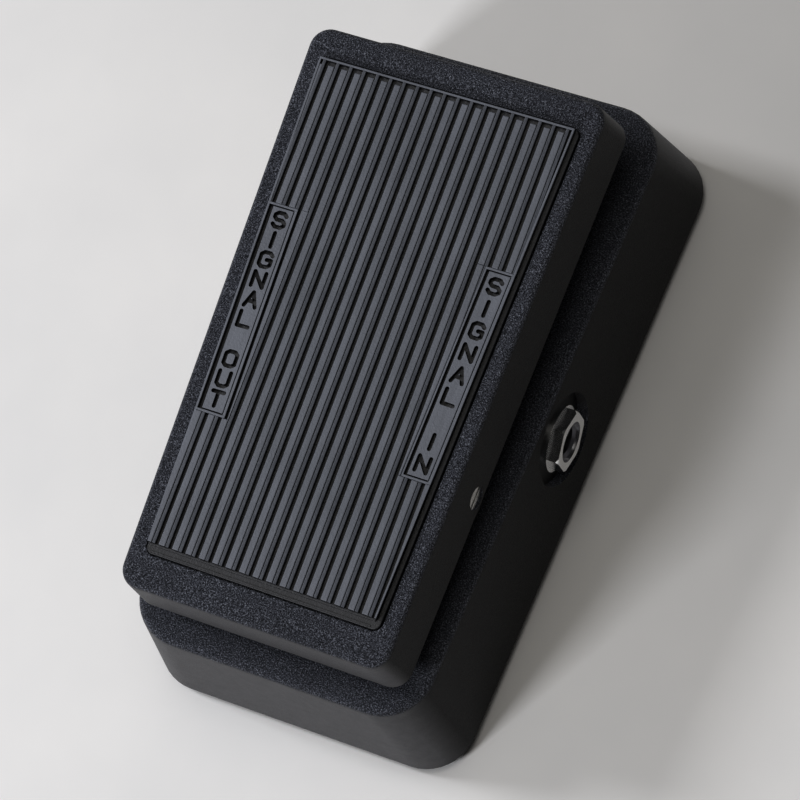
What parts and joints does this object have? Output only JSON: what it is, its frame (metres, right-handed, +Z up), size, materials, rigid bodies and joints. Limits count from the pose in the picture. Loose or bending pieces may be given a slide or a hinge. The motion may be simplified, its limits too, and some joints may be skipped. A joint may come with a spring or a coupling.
{
  "type": "volume pedal",
  "caption": "Compact volume pedal: black drafted cast base, rocking treadle with ribbed rubber mat, side jacks, and a rack that turns a potentiometer inside.",
  "frame": {"origin": "middle of the base's footprint at the level of the feet's soles", "axes": "+X to the player's right (input jack side), +Y from heel to toe, +Z up"},
  "size_m": [0.0872, 0.155, 0.0668],
  "materials": {
    "black_casting": "fine sand-textured black powder coat on die-cast aluminium",
    "plate_steel": "satin black paint on sheet steel",
    "foot_rubber": "matt black rubber",
    "mat_rubber": "ribbed charcoal rubber, satin",
    "zinc_screw": "zinc plated",
    "black_screw": "black oxide",
    "nickel": "bright nickel plate",
    "bright_steel": "ground steel",
    "nylon": "natural nylon",
    "phenolic": "brown phenolic board",
    "spring_brass": "spring brass",
    "red_wire": "PVC insulation",
    "blue_wire": "PVC insulation",
    "black_wire": "PVC insulation"
  },
  "bodies": {
    "base": {"base_housing": "black_casting", "bottom_plate": "plate_steel", "rubber_feet": "foot_rubber", "foot_screws": "zinc_screw", "pivot_bushings": "nylon", "thrust_washers": "nylon", "toe_bumper": "foot_rubber", "heel_bumper": "foot_rubber", "input_jack_frame": "nickel", "input_jack_insulators": "phenolic", "input_jack_tip_spring": "spring_brass", "input_jack_washer": "nickel", "input_jack_nut": "nickel", "output_jack_frame": "nickel", "output_jack_insulators": "phenolic", "output_jack_tip_spring": "spring_brass", "output_jack_washer": "nickel", "output_jack_nut": "nickel", "pot_case": "nickel", "pot_element": "phenolic", "pot_washer": "nickel", "pot_nut": "nickel", "pot_bracket": "zinc_screw", "bracket_screws": "black_screw", "rack_guide": "nylon", "guide_screws": "black_screw", "input_wire": "red_wire", "output_wire": "blue_wire", "ground_wire": "black_wire"},
    "treadle": {"treadle_pan": "black_casting", "tread_mat": "mat_rubber", "pivot_rod": "bright_steel", "rod_set_screws": "black_screw", "rack_pin": "bright_steel"},
    "rack": {"gear_rack": "nylon"},
    "pot_rotor": {"pot_shaft": "bright_steel", "pot_pinion": "nylon", "pot_wiper": "spring_brass"}
  },
  "joints": [
    {"name": "treadle_hinge", "type": "hinge", "parent": "base", "child": "treadle", "pos_m": [0, -0.024, 0.048], "axis": [1, 0, 0], "range_deg": [-8.5, 6.4]},
    {"name": "rack_slide", "type": "slide", "parent": "base", "child": "rack", "axis": [0, 0, 1], "range_m": [-0.0072, 0.0056]},
    {"name": "pot_spin", "type": "hinge", "parent": "base", "child": "pot_rotor", "pos_m": [0, 0.0286, 0.022], "axis": [1, 0, 0], "range_deg": [-70, 90]}
  ],
  "couplings": [
    {"joint": "rack_slide", "follows": "treadle_hinge", "m_per_rad": 0.045},
    {"joint": "pot_spin", "follows": "treadle_hinge", "ratio": -9.375}
  ]
}
